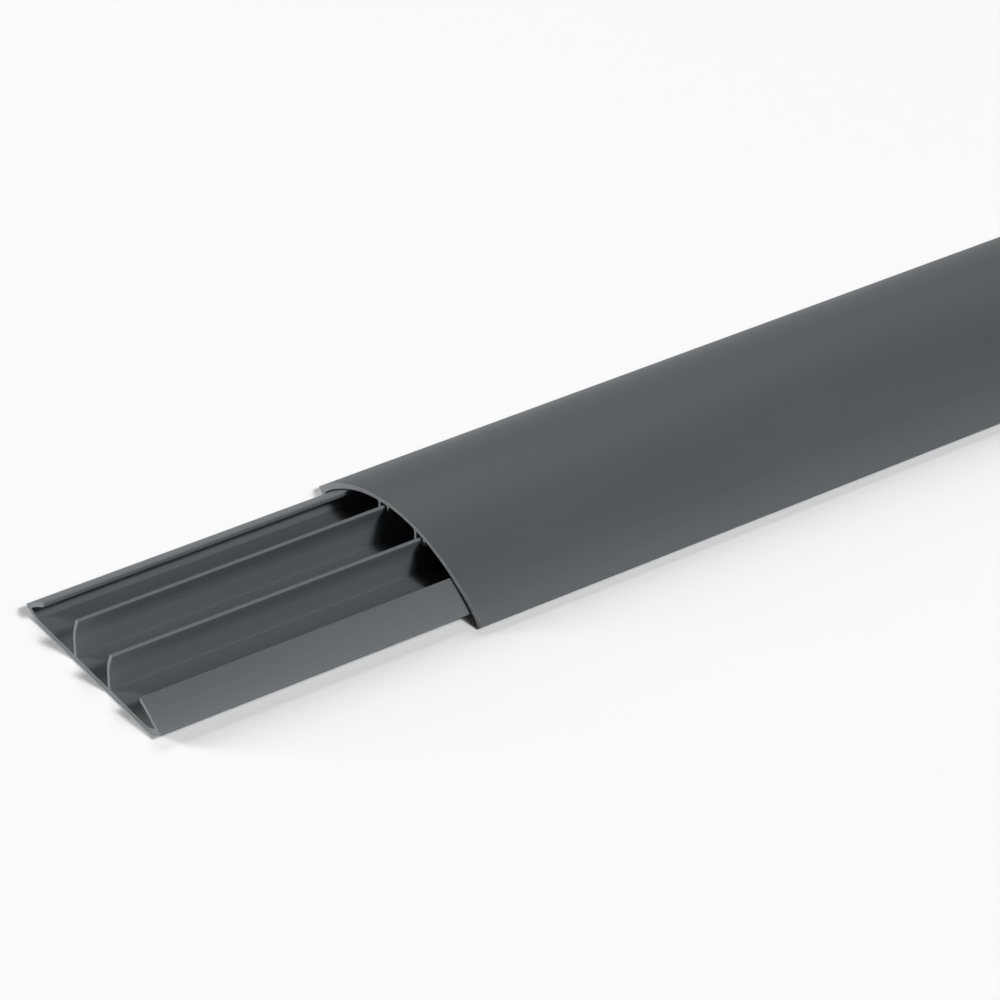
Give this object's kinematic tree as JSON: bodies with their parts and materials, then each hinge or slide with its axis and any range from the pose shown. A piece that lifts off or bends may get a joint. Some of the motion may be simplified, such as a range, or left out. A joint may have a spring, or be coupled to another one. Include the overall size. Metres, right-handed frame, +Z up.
{
  "type": "floor cord cover",
  "caption": "Low over-floor cable duct: a flat three-way plastic base channel with a domed cover that snaps on and slides along it.",
  "frame": {"origin": "middle of the overall footprint, on the floor", "axes": "+X runs along the duct, from the bare end of the base toward the covered end. +Z is up. +Y is across the duct, toward the side that is farther from the camera in the picture."},
  "size_m": [1.0892, 0.0748, 0.015],
  "materials": {
    "base_plastic": "smooth satin extruded PVC, slate grey",
    "cover_plastic": "smooth satin extruded PVC, slate grey"
  },
  "bodies": {
    "base": {"base_channel": "base_plastic"},
    "cover": {"domed_cover": "cover_plastic"}
  },
  "joints": [
    {"name": "cover_slide", "type": "slide", "parent": "base", "child": "cover", "axis": [1, 0, 0], "range_m": [-0.0892, 0.92]}
  ]
}
